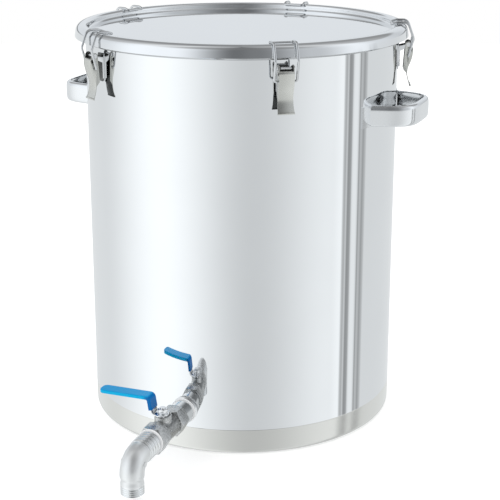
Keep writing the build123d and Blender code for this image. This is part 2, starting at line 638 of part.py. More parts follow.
with BuildPart() as lever_spring_washer:
    add(stem_ring(STEM_THREAD_R, SPRING_WASHER_R, strip_z + HANDLE_T, nut_z))
    with Locations((0, stem_y, nut_z)):
        Box(2 * SPRING_WASHER_R, SPRING_WASHER_T, 2 * SPRING_WASHER_T,
            align=(Align.MIN, Align.CENTER, Align.CENTER), mode=Mode.SUBTRACT)
save(lever_spring_washer.part, "lever_spring_washer")

with BuildPart() as lever_nut:
    with BuildSketch(stem_plane.offset(nut_z)):
        RegularPolygon(NUT_AF / sqrt(3), 6)
        Circle(STEM_THREAD_R, mode=Mode.SUBTRACT)
    extrude(amount=NUT_T)
    with BuildSketch(stem_section):
        nut_top = nut_z + NUT_T
        with BuildLine():
            Polyline((0, nut_z), (NUT_AF, nut_z), (NUT_AF / sqrt(3), nut_top - NUT_CHAMFER),
                     (NUT_AF / 2 - NUT_CHAMFER / 2, nut_top), (0, nut_top), close=True)
        make_face()
    revolve(axis=stem_axis, mode=Mode.INTERSECT)
save(lever_nut.part, "lever_nut")

# Elbow: threaded inlet, round bend and a collared mouth that points at the floor
with BuildPart() as outlet_elbow:
    bend_start = ELBOW_OUT - ELBOW_BEND_R
    ridge_start = body_end + TAPE_W
    ridges = []
    for turn in range(RIDGE_COUNT):
        place = ridge_start + turn * RIDGE_PITCH
        ridges += [(place, RIDGE_R - RIDGE_DEPTH), (place + RIDGE_PITCH / 2, RIDGE_R)]
    ridge_end = ridge_start + RIDGE_COUNT * RIDGE_PITCH
    with BuildSketch(pipe_section):
        with BuildLine():
            Polyline((screw_end, 0), (screw_end, THREAD_R), (ridge_start, THREAD_R), *ridges,
                     (ridge_end, RIDGE_R - RIDGE_DEPTH), (ridge_end + RIDGE_PITCH, ELBOW_R),
                     (bend_start, ELBOW_R), (bend_start, 0), close=True)
        make_face()
    revolve(axis=pipe_axis)
    with BuildSketch(pipe_face.offset(bend_start)):
        Circle(ELBOW_R)
    bend_axis = Axis((0, -(outer_r + bend_start), DRAIN_Z - ELBOW_BEND_R), (1, 0, 0))
    revolve(axis=bend_axis, revolution_arc=90)
    mouth_ridges = []
    for turn in range(MOUTH_RIDGE_COUNT):
        height = ELBOW_COLLAR_TOP - RIDGE_PITCH / 2 - turn * RIDGE_PITCH
        groove_r = ELBOW_COLLAR_R - MOUTH_RIDGE_DEPTH
        mouth_ridges += [(ELBOW_COLLAR_R, height), (groove_r, height - RIDGE_PITCH / 2)]
    with BuildSketch(elbow_section):
        with BuildLine():
            bend_z = DRAIN_Z - ELBOW_BEND_R
            Line((0, bend_z), (ELBOW_R, bend_z))
            Spline((ELBOW_R, bend_z), (ELBOW_NECK_R, ELBOW_NECK_Z), (ELBOW_COLLAR_R, ELBOW_COLLAR_TOP),
                   tangents=((0, -1), (0, -1)))
            Polyline((ELBOW_COLLAR_R, ELBOW_COLLAR_TOP), *mouth_ridges,
                     (ELBOW_COLLAR_R, OUTLET_Z + THREAD_CHAMFER), (ELBOW_COLLAR_R - THREAD_CHAMFER, OUTLET_Z),
                     (0, OUTLET_Z), (0, bend_z))
        make_face()
    revolve(axis=elbow_axis)
    half_bend = ELBOW_BEND_R * sin(radians(45))
    with Locations((0, -(outer_r + bend_start + half_bend), DRAIN_Z - ELBOW_BEND_R + half_bend)):
        Cylinder(ELBOW_PAD_R, 2 * (ELBOW_R + ELBOW_PAD_RISE), rotation=(0, 90, 0))
    with BuildSketch(pipe_face.offset(body_end - JOINT_DEPTH)):
        Circle(ELBOW_BORE_R)
    extrude(amount=bend_start - body_end + JOINT_DEPTH, mode=Mode.SUBTRACT)
    with BuildSketch(pipe_face.offset(bend_start)):
        Circle(ELBOW_BORE_R)
    revolve(axis=bend_axis, revolution_arc=90, mode=Mode.SUBTRACT)
    with BuildSketch(Plane(origin=(0, elbow_y, OUTLET_Z))):
        Circle(ELBOW_BORE_R)
    extrude(amount=DRAIN_Z - ELBOW_BEND_R - OUTLET_Z, mode=Mode.SUBTRACT)
    with BuildSketch(Plane(origin=(0, elbow_y, OUTLET_Z))):
        Circle(OUTLET_R)
    extrude(amount=OUTLET_DEPTH, mode=Mode.SUBTRACT)
save(outlet_elbow.part, "outlet_elbow")
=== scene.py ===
import math
from collections import namedtuple

import bpy
from bpy.props import FloatProperty, FloatVectorProperty, IntProperty, PointerProperty
from mathutils import Matrix, Vector


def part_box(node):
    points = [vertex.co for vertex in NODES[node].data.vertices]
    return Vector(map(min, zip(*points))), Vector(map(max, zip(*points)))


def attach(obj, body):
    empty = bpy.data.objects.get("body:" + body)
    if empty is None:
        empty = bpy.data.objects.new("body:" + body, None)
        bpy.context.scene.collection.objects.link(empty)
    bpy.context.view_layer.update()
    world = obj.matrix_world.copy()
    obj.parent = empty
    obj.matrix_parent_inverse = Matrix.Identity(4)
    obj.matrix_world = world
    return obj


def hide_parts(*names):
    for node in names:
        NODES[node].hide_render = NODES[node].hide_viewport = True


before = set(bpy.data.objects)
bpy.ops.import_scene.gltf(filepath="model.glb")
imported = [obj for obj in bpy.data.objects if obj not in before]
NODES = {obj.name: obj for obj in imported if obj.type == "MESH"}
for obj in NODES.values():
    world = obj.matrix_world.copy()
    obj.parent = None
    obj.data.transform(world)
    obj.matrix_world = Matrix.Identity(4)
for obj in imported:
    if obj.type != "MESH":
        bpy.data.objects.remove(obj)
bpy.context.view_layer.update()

bl_info = {
    "name": "Clamp-lid steel tank",
    "version": (1, 0, 0),
    "blender": (4, 5, 0),
    "location": "View3D > Sidebar > Tank",
    "description": "Dresses the packed frame of a polished tank with a clamped lid and a drain valve",
    "category": "Object",
}

CLIPS = range(1, 6)
CLIP_SPACING = 72  # degrees from one clip to the next

# Places that the frame gives, in metres
SHELL_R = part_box("tank_shell")[1].x
SEAM_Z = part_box("tank_shell")[0].z
BEAD_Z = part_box("tank_shell")[1].z
RIM_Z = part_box("tank_rim")[1].z
RIM_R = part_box("tank_rim")[1].x
SKIRT_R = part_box("lid_panel")[1].x
SKIRT_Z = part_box("lid_panel")[0].z
CREST_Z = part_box("lid_panel")[1].z
DRAIN_Z = (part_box("drain_socket")[0].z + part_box("drain_socket")[1].z) / 2
STRAP_Z = (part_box("handle_right")[0].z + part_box("handle_right")[1].z) / 2

# Divisions of the turned sheets, in metres
SHELL_ROWS = (0.06, 0.1, 0.2, 0.3, 0.4, 0.5)  # heights on the wall
INNER_RING, OUTER_RING = 0.1, 0.2  # radii on the flat of the bottom and of the lid
CORNER_STEPS = 12
PIPE_STEPS = 96
DOUBLES = 4e-6  # points closer than this are merged

# Roundings of edges, in metres
PRESSED_EDGE = 0.0004
THIN_EDGE = 0.0003
CAST_EDGE = 0.0007

BLACK, WHITE = (0, 0, 0, 1), (1, 1, 1, 1)

# Soft boxes and flags that polished steel shows: bearings from the camera in degrees with their tones, and a tint.
# LOW and HIGH lie below and above the horizon, and CROWN is the ceiling.
LOW = (((-180, 0.84), (-125, 0.88), (-62, 1.3), (8, 0.75), (70, 1.06), (78.5, 1.15), (81, 0.45), (83, 0.75),
        (84.5, 0.35), (87.5, 0.45), (89, 1), (93.5, 1), (96, 0.35), (97.5, 0.7), (99.5, 0.4), (102, 0.55), (104, 0.84)),
       (0.955, 0.985, 1.0))
HIGH = (((-180, 0.87), (-110, 0.9), (-75, 1.25), (-48, 1.2), (-4, 0.2), (10, 0.25), (50, 0.68), (86, 1.15),
         (108, 0.9), (140, 0.74), (160, 0.87)),
        (0.92, 0.96, 1.0))
CROWN = (((-180, 0.33), (-150, 0.36), (-115, 0.62), (-85, 0.95), (-40, 0.4), (0, 0.22), (40, 0.32), (85, 0.8),
          (115, 0.52), (150, 0.36)),
         (0.96, 0.98, 1.0))
# Share of light left in the gap between LOW and HIGH, and the rise at which the ceiling starts and is full
GAP = (((-180, 0.25), (-155, 0.3), (-130, 1), (130, 1), (155, 0.3)), (1, 1, 1))
CROWN_START = (((-180, 0.35), (-120, 0.35), (-85, 0.5), (85, 0.5), (120, 0.35)), (1, 1, 1))
CROWN_FULL = (((-180, 0.46), (-120, 0.46), (-85, 0.86), (85, 0.86), (120, 0.46)), (1, 1, 1))
# Rises of a direction, from -1 straight down to 1 straight up
HORIZON = (-0.06, 0.1)  # from LOW alone to HIGH alone
GAP_RISE, GAP_EDGE = 0.035, (0.01, 0.055)  # middle of the gap, and its edge on both sides of it
EVEN_RISE, EVEN_SHARE = (-0.2, 0.9), (0.45, 1.35)  # light on matt surfaces, from the floor to the ceiling

KEY_PLACE, KEY_WAY = (-1.6, -1.8, 2.6), (1.6, 1.8, -2.3)
FLOOR_TONE, FLOOR_GLOW, FLOOR_R = 0.92, 0.34, 4.0

# Finish of each bare steel: its colour and the share of it that is used, the limits of its roughness, how close its
# polishing lines lie along X, Y and Z, the strength of its waves and how close they lie, the strength of its grain,
# and how metallic it is
Polish = namedtuple("Polish", "colour share smoothest roughest lines ripple waves grain metallic", defaults=(0, 1))
POLISHES = {
    "polished wall steel": Polish("steel", 1, 0.012, 0.04, (3, 3, 900), 0.0025, 5),
    # The rim curl is rougher, and its share of 0.7 is painted shade for the gap under the lid's skirt
    "drawn rim steel": Polish("steel", 0.7, 0.06, 0.14, (3, 3, 900), 0.003, 6),
    "pressed bottom steel": Polish("bottom", 1, 0.14, 0.22, (3, 3, 900), 0.003, 6),
    # The unpolished inside of the tank scatters the light that falls in
    "brushed inner steel": Polish("steel", 1, 0.36, 0.5, (4, 4, 500), 0.003, 8, metallic=0.3),
    "polished lid steel": Polish("steel", 1, 0.02, 0.05, (300, 300, 3), 0.004, 7),
    "polished strap steel": Polish("steel", 1, 0.08, 0.17, (40, 40, 900), 0.006, 30),
    "pressed clip steel": Polish("clip", 1, 0.2, 0.32, (200, 200, 600), 0.01, 60, grain=0.05),
    # Near black painted shade on the hollow sides of the clips' brackets and levers
    "dull mill steel": Polish("mill", 1, 0.16, 0.3, (200, 200, 600), 0.01, 60, grain=0.08),
    "drawn wire steel": Polish("steel", 0.8, 0.08, 0.16, (300, 300, 300), 0.004, 80),
    "turned steel": Polish("steel", 0.95, 0.07, 0.16, (200, 200, 900), 0.004, 60, grain=0.04),
    "bright pipe steel": Polish("casting", 1, 0.12, 0.22, (200, 900, 200), 0.004, 60, grain=0.04),
}


class TankSizes(bpy.types.PropertyGroup):
    """Sheet sizes and roundings of the dressed tank."""

    sheet: FloatProperty(
        name="Sheet", description="Thickness of shell, bottom, rim and lid", default=0.0015, unit="LENGTH")
    bottom_corner: FloatProperty(
        name="Bottom corner", description="Outside corner of the pressed bottom", default=0.008, unit="LENGTH")
    lid_lean: FloatProperty(
        name="Lid lean", description="Skirt leaning in from its lower edge to the crest", default=0.0025, unit="LENGTH")
    lid_outer: FloatProperty(
        name="Lid shoulder", description="Outside rounding of the lid's rim, outer edge", default=0.0105, unit="LENGTH")
    lid_inner: FloatProperty(
        name="Lid inner edge", description="Outside rounding of the lid's rim, inner edge", default=0.005,
        unit="LENGTH")
    lid_plate: FloatProperty(
        name="Lid foot", description="Rounding where the ring meets the plate", default=0.003, unit="LENGTH")
    lid_plug: FloatProperty(
        name="Lid plug", description="Outside radius of the ring that sits in the bore", default=0.233, unit="LENGTH")
    lid_recess: FloatProperty(
        name="Lid recess", description="Depth of the plate below the crest", default=0.0096, unit="LENGTH")
    drain_hole: FloatProperty(
        name="Drain hole", description="Radius of the hole in the shell", default=0.0172, unit="LENGTH")
    seam: FloatProperty(
        name="Seam", description="Width of the weld bead above the bottom", default=0.0024, unit="LENGTH")
    turns: IntProperty(
        name="Turning steps", description="Faces round each turned sheet", default=256, min=48, max=512)


class HandleSizes(bpy.types.PropertyGroup):
    """Sizes of the two strap handles."""

    span: FloatProperty(
        name="Span", description="Between the roots on the wall", default=0.142, unit="LENGTH")
    reach: FloatProperty(
        name="Reach", description="Outermost face beyond the wall", default=0.0515, unit="LENGTH")
    front: FloatProperty(
        name="Front", description="Corner to corner of the bow", default=0.110, unit="LENGTH")
    bend: FloatProperty(
        name="Bend", description="Bend radius of the bow", default=0.046, unit="LENGTH")
    turn: FloatProperty(
        name="Turn", description="Both handles about the tank's axis", default=math.radians(-0.9), subtype="ANGLE")
    height: FloatProperty(
        name="Height", description="Height of the strap", default=0.031, unit="LENGTH")
    depth: FloatProperty(
        name="Depth", description="Depth of the rolled edges", default=0.0075, unit="LENGTH")
    sheet: FloatProperty(
        name="Strap sheet", description="Thickness of the strap", default=0.0015, unit="LENGTH")
    foot: FloatProperty(
        name="Foot", description="Foot along the wall beyond the root", default=0.018, unit="LENGTH")


class TankFinish(bpy.types.PropertyGroup):
    """Colours of the finishes, among them painted light and shade, and the bearing of the bottom's painted reflection.
    """

    steel: FloatVectorProperty(
        name="Polished steel", description="Sheet of the tank", default=(0.79, 0.80, 0.81), subtype="COLOR")
    bottom: FloatVectorProperty(
        name="Bottom steel", description="Pressed dish under the shell", default=(0.77, 0.765, 0.735), subtype="COLOR")
    # Bearing of the bottom's painted reflection: the bottom is painted lighter towards both ends of it and darker
    # between them.
    grain: FloatProperty(
        name="Bottom reflection bearing", description="Rolling direction of the bottom's sheet", default=math.radians(21),
        subtype="ANGLE")
    casting: FloatVectorProperty(
        name="Cast steel", description="Elbow and pipe fittings", default=(0.80, 0.81, 0.81), subtype="COLOR")
    valve: FloatVectorProperty(
        name="Valve steel", description="Body and end piece of the valve", default=(0.56, 0.565, 0.56), subtype="COLOR")
    clip: FloatVectorProperty(
        name="Clip steel", description="Levers of the clips", default=(0.64, 0.64, 0.605), subtype="COLOR")
    # Near black painted shade where the lever covers its bracket and on the lever's back towards the wall
    mill: FloatVectorProperty(
        name="Hollow shade", description="Hollow sides of the clips' brackets and levers", default=(0.09, 0.092, 0.09),
        subtype="COLOR")
    # The three sleeve colours are tones of one blue plastic painted for light: this darker one is painted shade on the
    # drop, the next the lit flat of the grip, and the last a painted sheen along the grip's sides.
    sleeve: FloatVectorProperty(
        name="Sleeve", description="Plastic on the valve lever, from the bend down", default=(0.0, 0.16, 0.49),
        subtype="COLOR")
    sleeve_lit_top: FloatVectorProperty(
        name="Sleeve lit top", description="Same plastic, on the flat of the grip", default=(0.0, 0.31, 0.67),
        subtype="COLOR")
    sleeve_painted_sheen: FloatVectorProperty(
        name="Sleeve painted sheen", description="Same plastic, worn light along the grip's edges", default=(0.0, 0.49, 0.85),
        subtype="COLOR")
    tape: FloatVectorProperty(
        name="Sealing tape", description="Tape in the screwed joints", default=(0.90, 0.91, 0.92), subtype="COLOR")
    gasket: FloatVectorProperty(
        name="Gasket", description="Silicone ring of the lid", default=(0.78, 0.78, 0.75), subtype="COLOR")


class StudioSettings(bpy.types.PropertyGroup):
    """Camera and light."""

    eye: FloatVectorProperty(
        name="Eye", description="Place of the camera", default=(0.7337, -1.9013, 0.8733), subtype="TRANSLATION")
    tilt: FloatProperty(
        name="Tilt", description="Camera tilt from straight down", default=math.radians(72.832), subtype="ANGLE")
    pan: FloatProperty(
        name="Pan", description="Camera turn about the vertical", default=math.radians(20.749), subtype="ANGLE")
    lens: FloatProperty(
        name="Lens", description="Focal length in millimetres", default=96.273, unit="CAMERA")
    level: FloatProperty(
        name="Light level", description="Even light on matt surfaces", default=0.9)
    key_size: FloatProperty(
        name="Key size", description="Side of the soft key lamp", default=2.0, unit="LENGTH")
    key_power: FloatProperty(
        name="Key power", description="Power of the soft key lamp", default=8.0, unit="POWER")


def places_on_arc(middle, radius, first, last, steps):
    """Points on an arc in a profile, from the first to the last angle in degrees."""
    turn = [math.radians(first + (last - first) * i / steps) for i in range(steps + 1)]
    return [(middle[0] + radius * math.cos(a), middle[1] + radius * math.sin(a)) for a in turn]


def rounded_profile(corners, radii):
    """A profile through the corners of a bent sheet, each inner corner rounded by its own radius."""
    line = [corners[0]]
    for before, corner, after, radius in zip(corners, corners[1:], corners[2:], radii):
        back = (Vector(before) - Vector(corner)).normalized()
        ahead = (Vector(after) - Vector(corner)).normalized()
        half = back.angle(ahead) / 2
        middle = Vector(corner) + (back + ahead).normalized() * radius / math.sin(half)
        start = Vector(corner) + back * radius / math.tan(half) - middle
        end = Vector(corner) + ahead * radius / math.tan(half) - middle
        for i in range(CORNER_STEPS + 1):
            turned = (start * (1 - i / CORNER_STEPS) + end * i / CORNER_STEPS).normalized() * radius
            line.append(tuple(middle + turned))
    return line + [corners[-1]]


def name_piece(piece, name):
    piece.name = name
    piece.data.name = name


def take_up(*pieces):
    """Selects only the given pieces, the first one active."""
    bpy.ops.object.select_all(action="DESELECT")
    for piece in pieces:
        piece.select_set(True)
    bpy.context.view_layer.objects.active = pieces[0]


def draw_profile(name, places):
    """A new piece in edit mode that is one line drawn through the places, all of it selected."""
    bpy.ops.object.select_all(action="DESELECT")
    bpy.ops.mesh.primitive_plane_add(size=0.001, location=places[0])
    piece = bpy.context.object
    name_piece(piece, name)
    bpy.ops.object.mode_set(mode="EDIT")
    bpy.ops.mesh.select_all(action="SELECT")
    bpy.ops.mesh.merge(type="CENTER")
    for here, there in zip(places, places[1:]):
        bpy.ops.mesh.extrude_region_move(TRANSFORM_OT_translate={"value": Vector(there) - Vector(here)})
    bpy.ops.mesh.select_all(action="SELECT")
    return piece


def close_up(piece):
    """Merges doubles, turns the faces outwards and settles the piece at the origin."""
    bpy.ops.mesh.select_all(action="SELECT")
    bpy.ops.mesh.remove_doubles(threshold=DOUBLES)
    bpy.ops.mesh.normals_make_consistent(inside=False)
    bpy.ops.object.mode_set(mode="OBJECT")
    bpy.ops.object.transform_apply(location=True, rotation=True, scale=True)
    return piece


def turn_round_tank(name, profile, steps):
    """Spins a profile of radius and height about the tank's axis."""
    piece = draw_profile(name, [(r, 0, z) for r, z in profile])
    bpy.ops.mesh.spin(steps=steps, angle=math.tau, center=(0, 0, 0), axis=(0, 0, 1))
    return close_up(piece)


def turn_round_pipe(name, profile):
    """Spins a profile of distance from the wall and radius about the drain's axis."""
    piece = draw_profile(name, [(0, -(SHELL_R + out), DRAIN_Z + r) for out, r in profile])
    bpy.ops.mesh.spin(steps=PIPE_STEPS, angle=math.tau, center=(0, 0, DRAIN_Z), axis=(0, 1, 0))
    return close_up(piece)


def apply_modifier(piece, kind, **settings):
    """Adds a modifier with its settings and applies it."""
    take_up(piece)
    bpy.ops.object.modifier_add(type=kind)
    modifier = piece.modifiers[-1]
    for key, value in settings.items():
        setattr(modifier, key, value)
    bpy.ops.object.modifier_apply(modifier=modifier.name)


def round_edges(piece, width, corner):
    """Bevels the edges that are sharper than a corner in degrees."""
    apply_modifier(piece, "BEVEL", width=width, segments=2, limit_method="ANGLE", angle_limit=math.radians(corner))


def give_sheet(piece, thickness):
    apply_modifier(piece, "SOLIDIFY", thickness=thickness, offset=0.0, use_even_offset=True)


def smooth(piece, angle=35):
    take_up(piece)
    bpy.ops.object.shade_smooth_by_angle(angle=math.radians(angle))


def soften_node(node, name, width):
    """A merged copy of a frame node's mesh with its sharp edges rounded off."""
    piece = bpy.data.objects.new(name, NODES[node].data.copy())
    name_piece(piece, name)
    bpy.context.collection.objects.link(piece)
    take_up(piece)
    bpy.ops.mesh.customdata_custom_splitnormals_clear()
    bpy.ops.object.mode_set(mode="EDIT")
    bpy.ops.mesh.select_all(action="SELECT")
    bpy.ops.mesh.remove_doubles(threshold=DOUBLES)
    bpy.ops.mesh.dissolve_limited(angle_limit=math.radians(1))
    bpy.ops.object.mode_set(mode="OBJECT")
    round_edges(piece, width, corner=40)
    smooth(piece, 32)
    return piece


def turn_piece(piece, angle):
    """Turns a finished piece about the tank's axis."""
    take_up(piece)
    piece.rotation_euler.z = angle
    bpy.ops.object.transform_apply(location=True, rotation=True, scale=True)


def copy_piece(piece, name):
    """A copy with a mesh of its own."""
    take_up(piece)
    bpy.ops.object.duplicate()
    twin = bpy.context.object
    name_piece(twin, name)
    return twin


def drill(piece, radius, depth, place, turned=(0, 0, 0), vertices=48):
    """Cuts a round hole through a piece."""
    bpy.ops.object.select_all(action="DESELECT")
    bpy.ops.mesh.primitive_cylinder_add(vertices=vertices, radius=radius, depth=depth, location=place, rotation=turned)
    tool = bpy.context.object
    apply_modifier(piece, "BOOLEAN", operation="DIFFERENCE", solver="EXACT", object=tool)
    bpy.data.objects.remove(tool)


def finish_piece(piece, body, slot, material, *stands_for):
    """Puts a piece on its body with its finish, and hides the frame's node that it stands for."""
    piece.data.materials.clear()
    piece.data.materials.append(material)
    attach(piece, body)
    if stands_for:
        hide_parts(*stands_for)


def coat_nodes(names, material):
    """Gives nodes of the frame their finish."""
    for name in names:
        node = NODES[name]
        if not node.material_slots:
            node.data.materials.append(material)
        for slot in node.material_slots:
            slot.material = material


def feed(tree, socket, value):
    """Links a socket to another node's output, or sets its value."""
    if isinstance(value, bpy.types.NodeSocket):
        tree.links.new(value, socket)
    else:
        socket.default_value = value


def add_node(tree, kind, **values):
    """A node with its settings, and with its sockets fed by their names."""
    node = tree.nodes.new(kind)
    for key, value in values.items():
        if key in node.inputs:
            feed(tree, node.inputs[key], value)
        else:
            setattr(node, key, value)
    return node


def add_math(tree, operation, *values, **settings):
    node = add_node(tree, "ShaderNodeMath", operation=operation, **settings)
    for socket, value in zip(node.inputs, values):
        feed(tree, socket, value)
    return node.outputs["Value"]


def add_vector_math(tree, operation, first, second):
    node = add_node(tree, "ShaderNodeVectorMath", operation=operation)
    feed(tree, node.inputs[0], first)
    feed(tree, node.inputs[1], second)
    return node.outputs["Value" if operation == "DOT_PRODUCT" else "Vector"]


def map_range(tree, value, first, last, low=0.0, high=1.0, easing="SMOOTHSTEP"):
    """Leads a value from low to high while it goes from first to last."""
    node = add_node(tree, "ShaderNodeMapRange", interpolation_type=easing)
    limits = {"Value": value, "From Min": first, "From Max": last, "To Min": low, "To Max": high}
    for label, limit in limits.items():
        feed(tree, node.inputs[label], limit)
    return node.outputs["Result"]


def mix_tones(tree, mask, first, second):
    """The first colour where the mask is 0 and the second where it is 1."""
    mix = add_node(tree, "ShaderNodeMix", data_type="RGBA", Factor=mask, A=first, B=second)
    return mix.outputs["Result"]


def shade(colour, share):
    return tuple(c * share for c in colour)


def tone_between(tree, mask, colour, dark, light):
    """Colours the surface between two shares of a colour by a mask."""
    tone = mix_tones(tree, mask, (*shade(colour, dark), 1), (*shade(colour, light), 1))
    feed(tree, surface_of(tree).inputs["Base Color"], tone)


def add_bump(tree, height, strength, distance):
    """Raises the surface by a height, over the bump that it has."""
    bump = add_node(tree, "ShaderNodeBump", Strength=strength, Distance=distance, Height=height)
    normal = surface_of(tree).inputs["Normal"]
    if normal.is_linked:
        feed(tree, bump.inputs["Normal"], normal.links[0].from_socket)
    feed(tree, normal, bump.outputs["Normal"])


def new_group(name, inputs, outputs):
    """An empty node group that takes Vector and the inputs, with its way in and its way out."""
    group = bpy.data.node_groups.new(name, "ShaderNodeTree")
    for label, kind, value in (("Vector", "NodeSocketVector", None), *inputs):
        socket = group.interface.new_socket(label, in_out="INPUT", socket_type=kind)
        if value is not None:
            socket.default_value = value
    for label in outputs:
        group.interface.new_socket(label, in_out="OUTPUT", socket_type="NodeSocketFloat")
    return group, group.nodes.new("NodeGroupInput").outputs, group.nodes.new("NodeGroupOutput").inputs


def sheet_ripple():
    """Slow waves that rolling and pressing leave in a sheet."""
    name = "sheet ripple"
    if name in bpy.data.node_groups:
        return bpy.data.node_groups[name]
    group, given, made = new_group(name, [("Size", "NodeSocketFloat", 6.0)], ["Height"])
    wave = add_node(group, "ShaderNodeTexNoise", Vector=given["Vector"], Scale=given["Size"], Detail=1.0, Roughness=0.4)
    feed(group, made["Height"], wave.outputs["Fac"])
    return group


def polish_haze():
    """Fine polishing lines and a cloudy haze, as a roughness between two limits and a tone mask."""
    name = "polish haze"
    if name in bpy.data.node_groups:
        return bpy.data.node_groups[name]
    group, given, made = new_group(
        name,
        [("Lines", "NodeSocketVector", (3.0, 3.0, 900.0)), ("Smoothest", "NodeSocketFloat", 0.05),
         ("Roughest", "NodeSocketFloat", 0.12)],
        ["Roughness", "Tone"])
    along = add_vector_math(group, "MULTIPLY", given["Vector"], given["Lines"])
    lines = add_node(group, "ShaderNodeTexNoise", Vector=along, Scale=1.0, Detail=3.0, Roughness=0.6)
    cloud = add_node(group, "ShaderNodeTexNoise", Vector=given["Vector"], Scale=9.0, Detail=4.0, Roughness=0.55)
    both = add_math(group, "MULTIPLY", lines.outputs["Fac"], cloud.outputs["Fac"])
    rough = map_range(group, both, 0.12, 0.42, given["Smoothest"], given["Roughest"], easing="LINEAR")
    feed(group, made["Roughness"], rough)
    feed(group, made["Tone"], cloud.outputs["Fac"])
    return group


def cast_skin():
    """Grain of a blasted casting or a moulded plastic, as a height and a tone mask."""
    name = "cast skin"
    if name in bpy.data.node_groups:
        return bpy.data.node_groups[name]
    group, given, made = new_group(name, [("Grain", "NodeSocketFloat", 900.0)], ["Height", "Tone"])
    place = given["Vector"]
    grain = add_node(group, "ShaderNodeTexNoise", Vector=place, Scale=given["Grain"], Detail=3.0, Roughness=0.7)
    patch = add_node(group, "ShaderNodeTexNoise", Vector=place, Scale=60.0, Detail=3.0)
    feed(group, made["Height"], grain.outputs["Fac"])
    feed(group, made["Tone"], patch.outputs["Fac"])
    return group


def painted_reflection_mask():
    """A painted reflection, as a tone mask that is light on two opposite sides of a dish and dark between them."""
    name = "rolled grain"
    if name in bpy.data.node_groups:
        return bpy.data.node_groups[name]
    group, given, made = new_group(name, [("Across", "NodeSocketVector", None)], ["Tone"])
    share = add_vector_math(group, "DOT_PRODUCT", given["Vector"], given["Across"])
    feed(group, made["Tone"], add_math(group, "MULTIPLY", share, share, use_clamp=True))
    return group


def start_material(name):
    """A new material and its tree, with the object's own place as a node in it."""
    material = bpy.data.materials.new(name)
    material.use_nodes = True
    material.node_tree.nodes.new("ShaderNodeTexCoord")
    return material, material.node_tree


def surface_of(tree):
    return tree.nodes["Principled BSDF"]


def place_of(tree):
    return tree.nodes["Texture Coordinate"].outputs["Object"]


def place_group(tree, group, **values):
    return add_node(tree, "ShaderNodeGroup", node_tree=group, Vector=place_of(tree), **values)


def polished_steel(context, name):
    """Bare steel with polishing lines, haze and the slow waves of its sheet."""
    if name in bpy.data.materials:
        return bpy.data.materials[name]
    polish = POLISHES[name]
    colour = shade(getattr(context.scene.tank_finish, polish.colour), polish.share)
    material, tree = start_material(name)
    surface = surface_of(tree)
    surface.inputs["Metallic"].default_value = polish.metallic
    haze = place_group(tree, polish_haze(), Lines=polish.lines, Smoothest=polish.smoothest, Roughest=polish.roughest)
    feed(tree, surface.inputs["Roughness"], haze.outputs["Roughness"])
    tone_between(tree, haze.outputs["Tone"], colour, dark=0.97, light=1.02)
    wave = place_group(tree, sheet_ripple(), Size=polish.waves)
    add_bump(tree, wave.outputs["Height"], polish.ripple, distance=0.01)
    if polish.grain:
        skin = place_group(tree, cast_skin(), Grain=700.0)
        add_bump(tree, skin.outputs["Height"], polish.grain, distance=0.0004)
    return material


def bottom_steel(context):
    """Polished sheet with a painted reflection that is lighter on two opposite sides and darker between them."""
    name = "pressed bottom steel"
    if name in bpy.data.materials:
        return bpy.data.materials[name]
    finish = context.scene.tank_finish
    material = polished_steel(context, name)
    tree = material.node_tree
    across = (math.cos(finish.grain) / SHELL_R, math.sin(finish.grain) / SHELL_R, 0)
    # Painted reflection: lighter towards both ends of the bearing, darker between them.
    grain = place_group(tree, painted_reflection_mask(), Across=across)
    tone_between(tree, grain.outputs["Tone"], finish.bottom, dark=0.85, light=1.06)
    return material


def grainy_material(name, grain, lines, smoothest, roughest, bump, depth):
    """The grained skin of a casting or a moulding, still without its colour."""
    material, tree = start_material(name)
    skin = place_group(tree, cast_skin(), Grain=grain)
    haze = place_group(tree, polish_haze(), Lines=(lines, lines, lines), Smoothest=smoothest, Roughest=roughest)
    feed(tree, surface_of(tree).inputs["Roughness"], haze.outputs["Roughness"])
    add_bump(tree, skin.outputs["Height"], bump, depth)
    return material, tree, skin


def valve_steel(context):
    """Tumbled casting that is dark in the pits of its grain."""
    name = "tumbled valve steel"
    if name in bpy.data.materials:
        return bpy.data.materials[name]
    material, tree, skin = grainy_material(
        name, grain=320.0, lines=120.0, smoothest=0.195, roughest=0.325, bump=0.6, depth=0.0006)
    surface_of(tree).inputs["Metallic"].default_value = 1.0
    tone_between(tree, skin.outputs["Height"], context.scene.tank_finish.valve, dark=0.2, light=1.7)
    return material


def elbow_steel(context):
    """A blasted casting that is bright where its threads are cut."""
    name = "satin elbow steel"
    if name in bpy.data.materials:
        return bpy.data.materials[name]
    material, tree, skin = grainy_material(
        name, grain=1400.0, lines=120.0, smoothest=0.3, roughest=0.42, bump=0.3, depth=0.0003)
    tone_between(tree, skin.outputs["Tone"], context.scene.tank_finish.casting, dark=0.92, light=1.06)
    part = add_node(tree, "ShaderNodeSeparateXYZ", Vector=place_of(tree)).outputs
    low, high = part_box("outlet_elbow")
    inlet_length, mouth_height = 0.052, 0.0142
    inlet = add_math(tree, "GREATER_THAN", part["Y"], high.y - inlet_length)
    mouth = add_math(tree, "LESS_THAN", part["Z"], low.z + mouth_height)
    cut = add_math(tree, "MAXIMUM", inlet, mouth)
    surface = surface_of(tree)
    satin = surface.inputs["Roughness"].links[0].from_socket
    for socket, cast, bright in (("Roughness", satin, 0.2), ("Metallic", 0.86, 1.0)):
        mix = add_node(tree, "ShaderNodeMix", Factor=cut, A=cast, B=bright)
        feed(tree, surface.inputs[socket], mix.outputs["Result"])
    return material


def soft_plastic(name, colour, roughness, grain, bump, gloss=0.5):
    """Moulded plastic, tape or rubber."""
    if name in bpy.data.materials:
        return bpy.data.materials[name]
    material, tree, skin = grainy_material(
        name, grain, lines=60.0, smoothest=roughness * 0.85, roughest=roughness * 1.15, bump=bump, depth=0.0003)
    surface_of(tree).inputs["Specular IOR Level"].default_value = gloss
    tone_between(tree, skin.outputs["Tone"], colour, dark=0.92, light=1.04)
    return material


